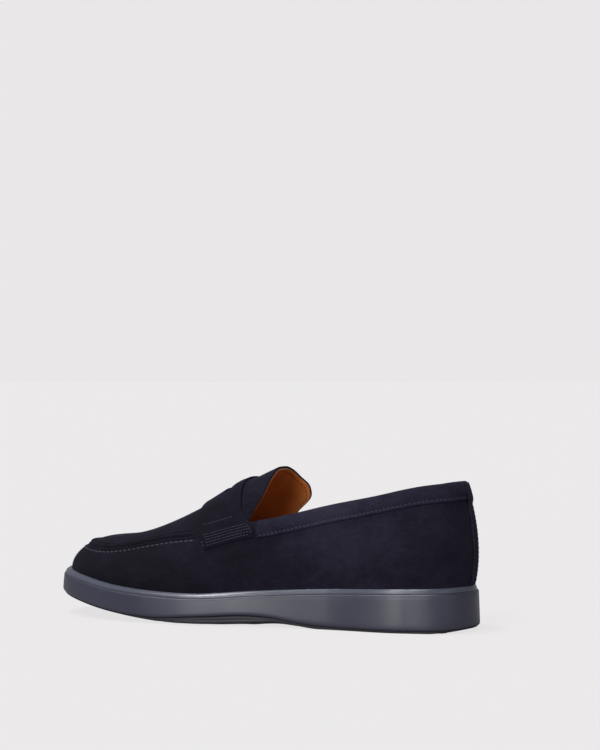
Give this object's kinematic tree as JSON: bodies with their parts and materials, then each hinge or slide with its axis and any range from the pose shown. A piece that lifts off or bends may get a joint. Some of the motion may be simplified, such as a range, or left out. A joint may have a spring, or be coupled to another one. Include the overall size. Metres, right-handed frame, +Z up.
{
  "type": "penny loafer",
  "caption": "Slip-on suede loafer with an apron front, slotted saddle strap, padded collar, leather lining and a two-level rubber sole.",
  "frame": {"origin": "centre of the shoe's outline on the floor, under the treads", "axes": "+Y runs from toe to heel along the shoe, +X is the outer side of the left foot, +Z is up"},
  "size_m": [0.106, 0.3001, 0.1016],
  "materials": {
    "suede": "suede, napped, near-black navy",
    "lining": "smooth cognac leather, satin",
    "padding": "foam, matt",
    "board": "fibre board, matt",
    "shank_steel": "rolled strip",
    "sole_rubber": "satin navy-grey",
    "rim_rubber": "satin, a little lighter",
    "outsole_rubber": "matt dark rubber",
    "thread": "waxed thread",
    "lining_thread": "waxed thread"
  },
  "bodies": {
    "root": {"side_wall": "suede", "lasting_margin": "suede", "apron": "suede", "strap": "suede", "tongue": "suede", "collar_band": "suede", "collar_padding": "padding", "back_strip": "suede", "heel_counter": "board", "toe_puff": "board", "vamp_lining": "lining", "quarter_lining": "lining", "tongue_lining": "lining", "insole_board": "board", "bottom_filler": "padding", "shank": "shank_steel", "footbed": "padding", "sock_lining": "lining", "midsole": "sole_rubber", "rim": "rim_rubber", "outsole": "outsole_rubber", "forefoot_tread": "outsole_rubber", "heel_tread": "outsole_rubber", "apron_stitching": "thread", "tab_stitching": "thread", "collar_stitching": "thread", "lining_stitching": "lining_thread", "back_stitching": "thread"}
  },
  "joints": []
}
